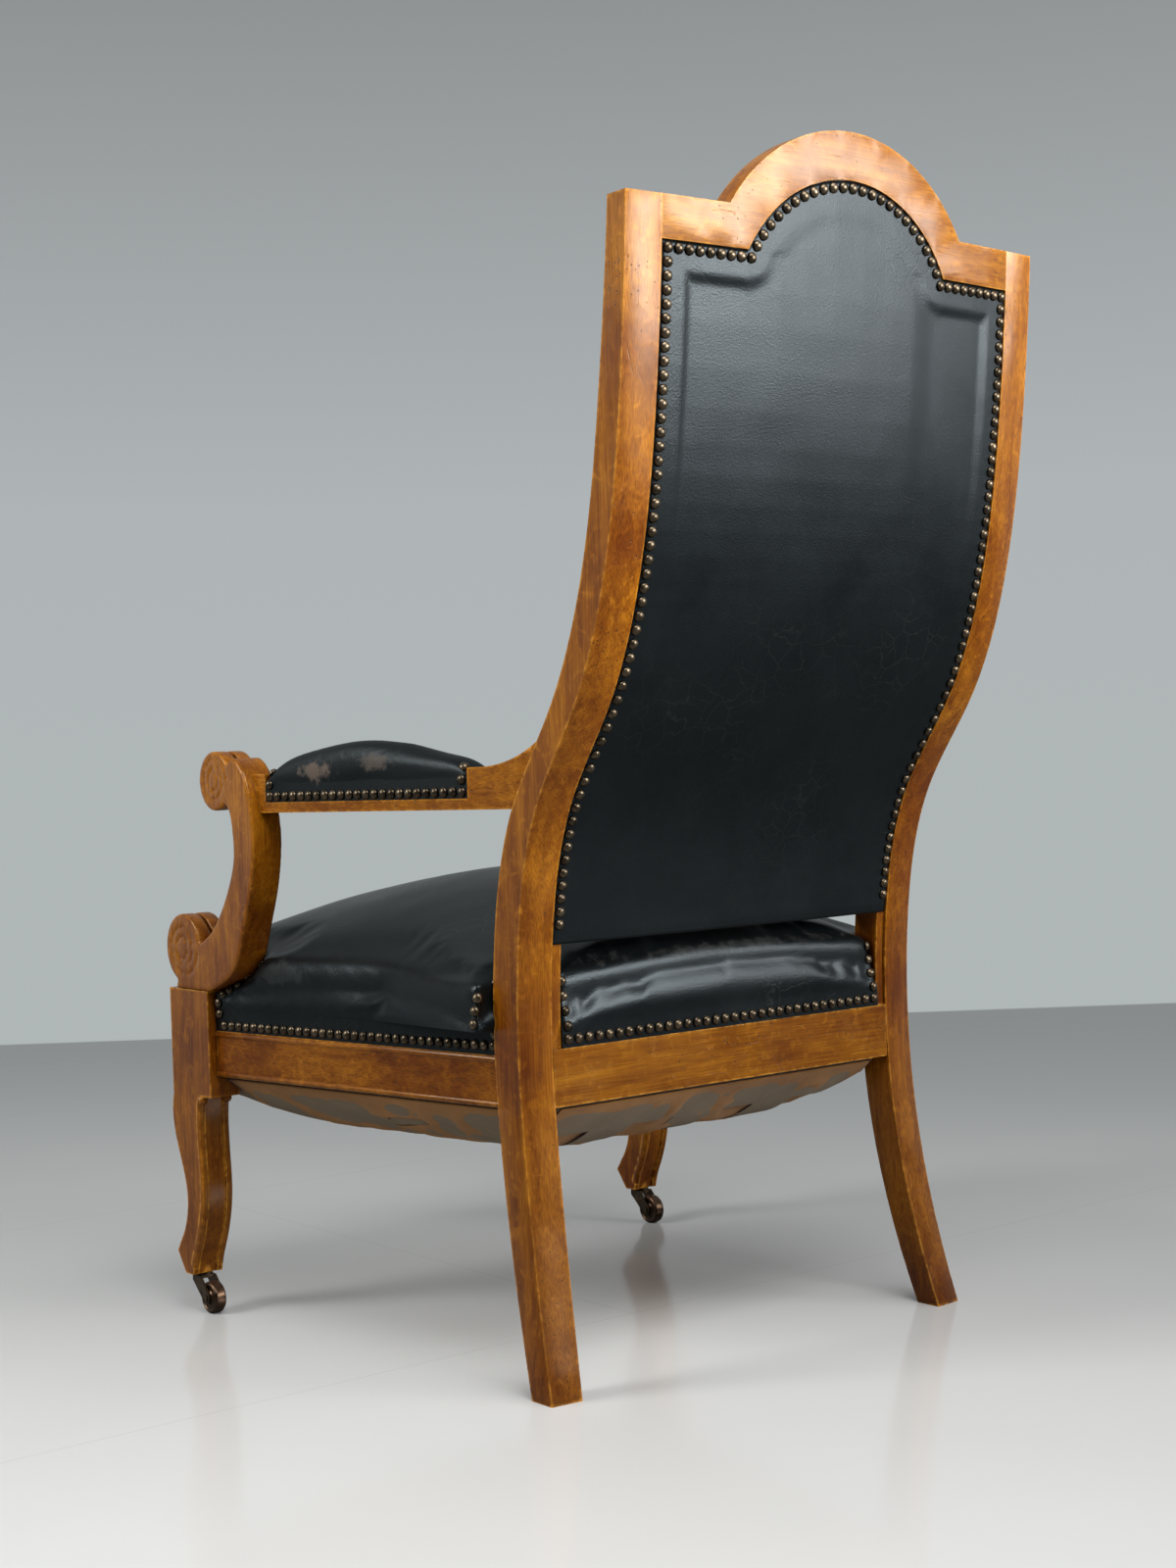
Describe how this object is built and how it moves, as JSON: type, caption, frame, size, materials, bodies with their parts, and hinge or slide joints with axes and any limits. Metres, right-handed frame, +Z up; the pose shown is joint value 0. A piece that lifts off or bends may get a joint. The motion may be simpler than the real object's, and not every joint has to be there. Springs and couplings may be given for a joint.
{
  "type": "armchair",
  "caption": "Tall open armchair with a bowed, arched upholstered back, scrolled arm supports, padded arms, a domed sprung seat and swivelling front casters.",
  "frame": {"origin": "on the floor, under the middle of the chair's bounding box", "axes": "+Z up, -Y the way the sitter faces, +X the sitter's left"},
  "size_m": [0.674, 0.7804, 1.18],
  "materials": {
    "frame_wood": "polished, worn",
    "inner_wood": "plain sawn",
    "leather": "soft sheen, scuffed",
    "webbing": "woven",
    "jute": "coarse weave",
    "stuffing": "matted hair",
    "spring_steel": "dull",
    "bronze": "dark, aged",
    "caster_wheel": "dark, worn"
  },
  "bodies": {
    "chair": {"left_rear_post": "frame_wood", "left_front_leg": "frame_wood", "left_arm_support": "frame_wood", "left_arm_rail": "frame_wood", "left_side_seat_rail": "frame_wood", "left_arm_pad": "leather", "left_caster_socket": "bronze", "right_rear_post": "frame_wood", "right_front_leg": "frame_wood", "right_arm_support": "frame_wood", "right_arm_rail": "frame_wood", "right_side_seat_rail": "frame_wood", "right_arm_pad": "leather", "right_caster_socket": "bronze", "crest_rail": "frame_wood", "rear_seat_rail": "frame_wood", "front_seat_rail": "frame_wood", "lower_back_rail": "inner_wood", "corner_blocks": "inner_wood", "dowels": "inner_wood", "outer_back_leather": "leather", "inside_back_pad": "leather", "seat_cover": "leather", "back_buttons": "leather", "back_webbing": "webbing", "seat_webbing": "webbing", "seat_stuffing": "stuffing", "spring_canvas": "jute", "bottom_cloth": "jute", "seat_springs": "spring_steel"},
    "left_caster": {"left_caster_horn": "bronze", "left_caster_axle": "bronze"},
    "left_wheel": {"left_caster_wheel": "caster_wheel"},
    "right_caster": {"right_caster_horn": "bronze", "right_caster_axle": "bronze"},
    "right_wheel": {"right_caster_wheel": "caster_wheel"}
  },
  "joints": [
    {"name": "left_caster_swivel", "type": "hinge", "parent": "chair", "child": "left_caster", "pos_m": [0.319, -0.36372, 0.03], "axis": [0, 0, 1], "continuous": true},
    {"name": "left_wheel_spin", "type": "hinge", "parent": "left_caster", "child": "left_wheel", "pos_m": [0.319, -0.34372, 0.0175], "axis": [1, 0, 0], "continuous": true},
    {"name": "right_caster_swivel", "type": "hinge", "parent": "chair", "child": "right_caster", "pos_m": [-0.319, -0.36372, 0.03], "axis": [0, 0, 1], "continuous": true},
    {"name": "right_wheel_spin", "type": "hinge", "parent": "right_caster", "child": "right_wheel", "pos_m": [-0.319, -0.34372, 0.0175], "axis": [1, 0, 0], "continuous": true}
  ]
}
